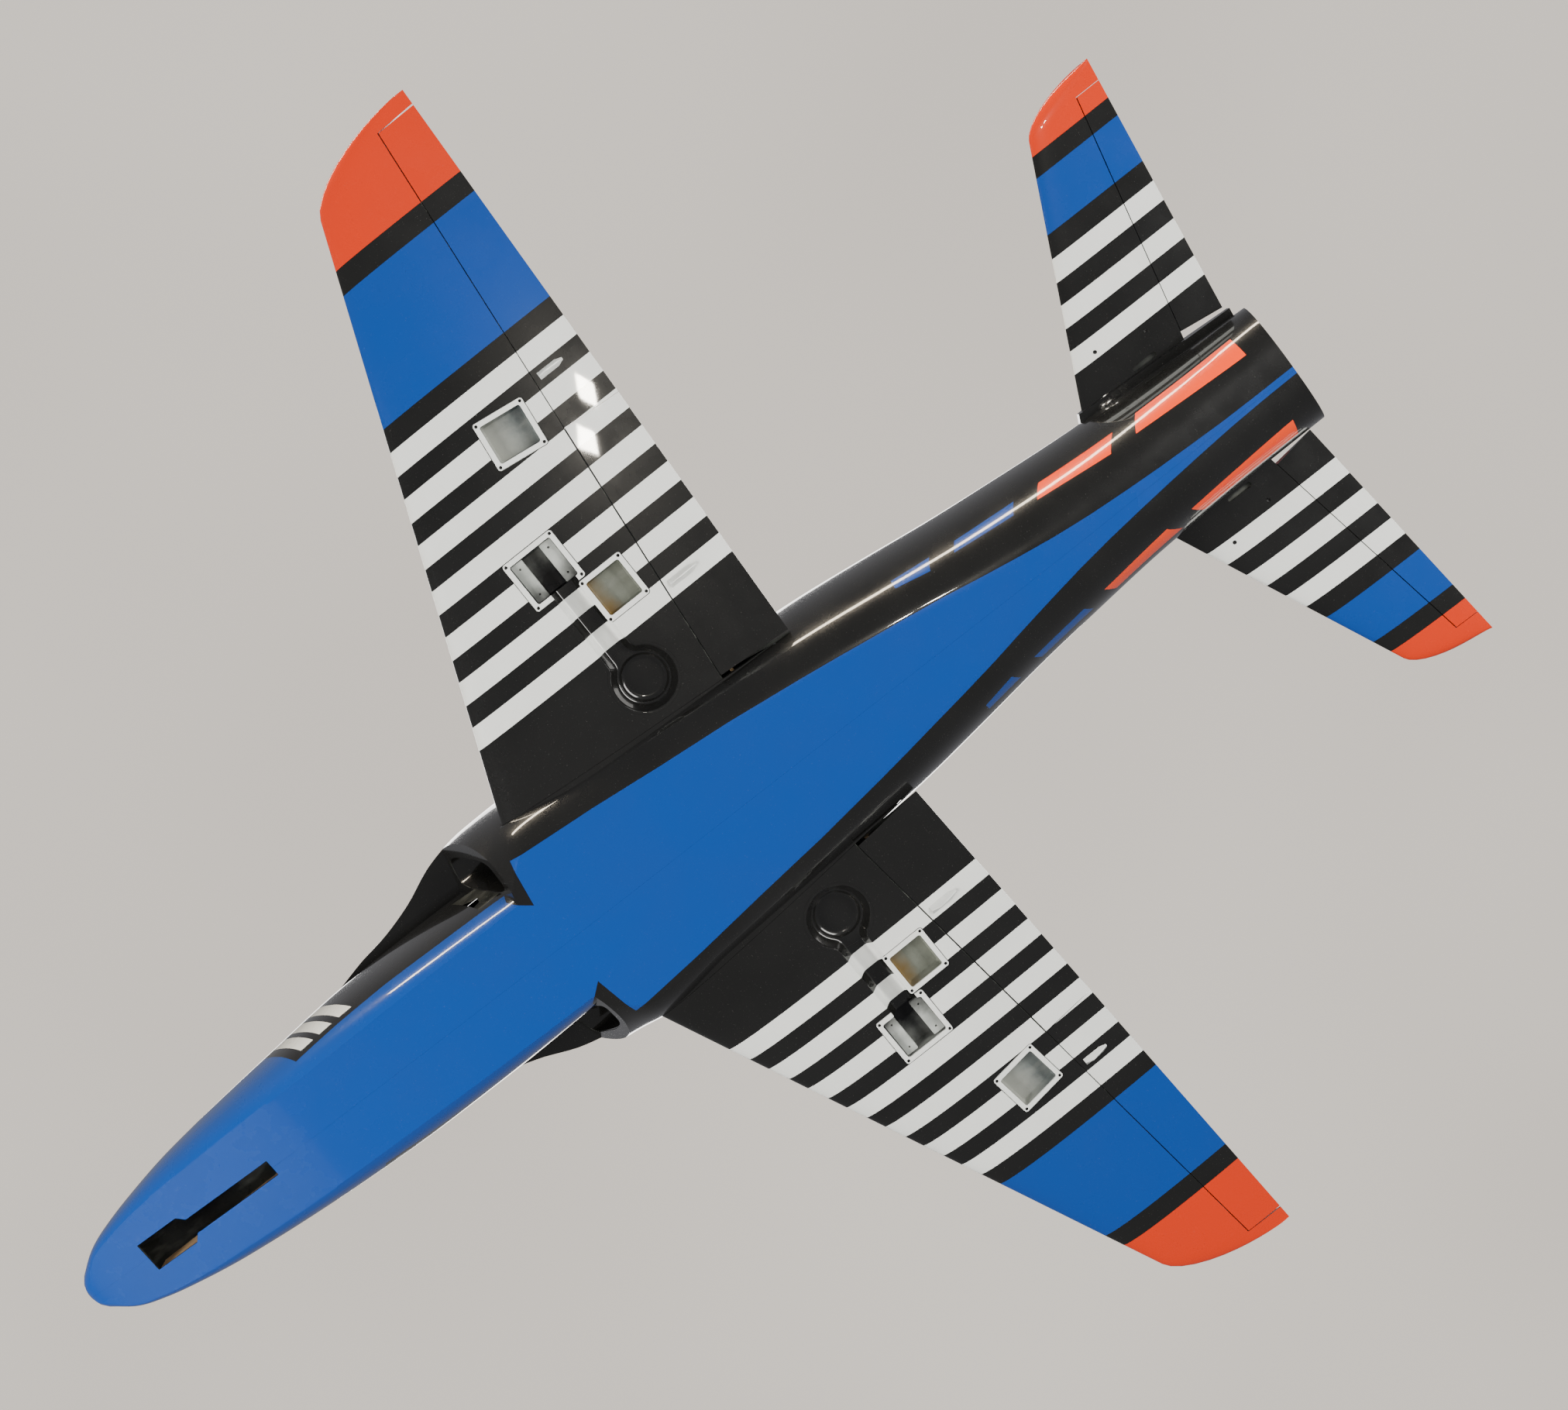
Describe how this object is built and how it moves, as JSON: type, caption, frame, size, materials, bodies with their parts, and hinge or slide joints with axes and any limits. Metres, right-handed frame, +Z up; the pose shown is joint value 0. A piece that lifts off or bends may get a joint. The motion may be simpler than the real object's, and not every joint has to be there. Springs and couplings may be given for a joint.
{
  "type": "radio control jet model airframe",
  "caption": "Moulded low-wing jet model airframe with side intakes, plug-in tapered wings, tailplane and fin, hinged control surfaces and a lift-off top hatch.",
  "frame": {"origin": "under the middle of the airframe, on the surface that the belly rests on", "axes": "+X to the port wing tip, +Y towards the tail, +Z up"},
  "size_m": [1.5408, 1.662, 0.4656],
  "materials": {
    "painted_skin": "glossy clear coat over black, blue, orange and white paint",
    "hatch_paint": "glossy clear coat over blue paint",
    "black_moulding": "glossy black moulded composite",
    "frame_plastic": "glossy white moulded flange",
    "bay_bearer": "grey painted hardwood bearer",
    "plywood": "bare birch plywood",
    "carbon_tube": "wound carbon fibre tube",
    "steel_wire": "drawn steel wire",
    "aluminium_pipe": "rolled aluminium sheet"
  },
  "bodies": {
    "root": {"fuselage_shell_left": "painted_skin", "fuselage_shell_right": "painted_skin", "intake_duct_left": "black_moulding", "intake_duct_right": "black_moulding", "exhaust_pipe": "aluminium_pipe", "former_nose": "plywood", "former_cabin": "plywood", "former_wing_front": "plywood", "former_wing_rear": "plywood", "former_engine": "plywood", "former_fin": "plywood", "former_tail": "plywood", "equipment_tray": "plywood", "nose_gear_plate_left": "plywood", "nose_gear_plate_right": "plywood", "engine_rail_left": "plywood", "engine_rail_right": "plywood", "wing_tube": "carbon_tube", "wing_pin_left": "carbon_tube", "wing_pin_right": "carbon_tube", "wing_left": "painted_skin", "wing_right": "painted_skin", "aileron_wire_left": "steel_wire", "aileron_wire_right": "steel_wire", "flap_wire_left": "steel_wire", "flap_wire_right": "steel_wire", "aileron_bay_frame_left": "frame_plastic", "aileron_bay_frame_right": "frame_plastic", "flap_bay_frame_left": "frame_plastic", "flap_bay_frame_right": "frame_plastic", "retract_frame_left": "frame_plastic", "retract_frame_right": "frame_plastic", "retract_rail_front_left": "bay_bearer", "retract_rail_front_right": "bay_bearer", "retract_rail_rear_left": "bay_bearer", "retract_rail_rear_right": "bay_bearer", "wheel_well_cup_left": "black_moulding", "wheel_well_cup_right": "black_moulding", "stabiliser_left": "painted_skin", "stabiliser_right": "painted_skin", "elevator_wire_left": "steel_wire", "elevator_wire_right": "steel_wire", "stabiliser_tube_front_left": "carbon_tube", "stabiliser_tube_front_right": "carbon_tube", "stabiliser_tube_rear_left": "carbon_tube", "stabiliser_tube_rear_right": "carbon_tube", "fin": "painted_skin", "rudder_wire": "steel_wire"},
    "hatch": {"canopy_hatch": "hatch_paint"},
    "aileron_left": {"aileron_left": "painted_skin", "aileron_horn_fairing_left": "painted_skin"},
    "aileron_right": {"aileron_right": "painted_skin", "aileron_horn_fairing_right": "painted_skin"},
    "flap_left": {"flap_left": "painted_skin", "flap_horn_fairing_left": "painted_skin"},
    "flap_right": {"flap_right": "painted_skin", "flap_horn_fairing_right": "painted_skin"},
    "elevator_left": {"elevator_left": "painted_skin"},
    "elevator_right": {"elevator_right": "painted_skin"},
    "rudder": {"rudder": "painted_skin"}
  },
  "joints": [
    {"name": "aileron_left_hinge", "type": "hinge", "parent": "root", "child": "aileron_left", "pos_m": [0.4126, 0.17732, 0.04756], "axis": [-0.993, -0.1082, -0.0466], "range_deg": [-25, 25]},
    {"name": "aileron_right_hinge", "type": "hinge", "parent": "root", "child": "aileron_right", "pos_m": [-0.4126, 0.17732, 0.04756], "axis": [-0.993, 0.1082, 0.0466], "range_deg": [-25, 25]},
    {"name": "flap_left_hinge", "type": "hinge", "parent": "root", "child": "flap_left", "pos_m": [0.116, 0.14499, 0.03345], "axis": [-0.993, -0.1082, -0.0473], "range_deg": [0, 50]},
    {"name": "flap_right_hinge", "type": "hinge", "parent": "root", "child": "flap_right", "pos_m": [-0.116, 0.14499, 0.03345], "axis": [-0.993, 0.1082, 0.0473], "range_deg": [0, 50]},
    {"name": "elevator_left_hinge", "type": "hinge", "parent": "root", "child": "elevator_left", "pos_m": [0.089, 0.75171, 0.12635], "axis": [-0.9801, -0.1813, 0.0802], "range_deg": [-25, 25]},
    {"name": "elevator_right_hinge", "type": "hinge", "parent": "root", "child": "elevator_right", "pos_m": [-0.089, 0.75171, 0.12635], "axis": [-0.9801, 0.1813, -0.0802], "range_deg": [-25, 25]},
    {"name": "rudder_hinge", "type": "hinge", "parent": "root", "child": "rudder", "pos_m": [0, 0.71355, 0.2177], "axis": [0, 0.2873, 0.9578], "range_deg": [-30, 30]},
    {"name": "hatch_lift", "type": "slide", "parent": "root", "child": "hatch", "axis": [0, 0, 1], "range_m": [0, 0.12]}
  ]
}
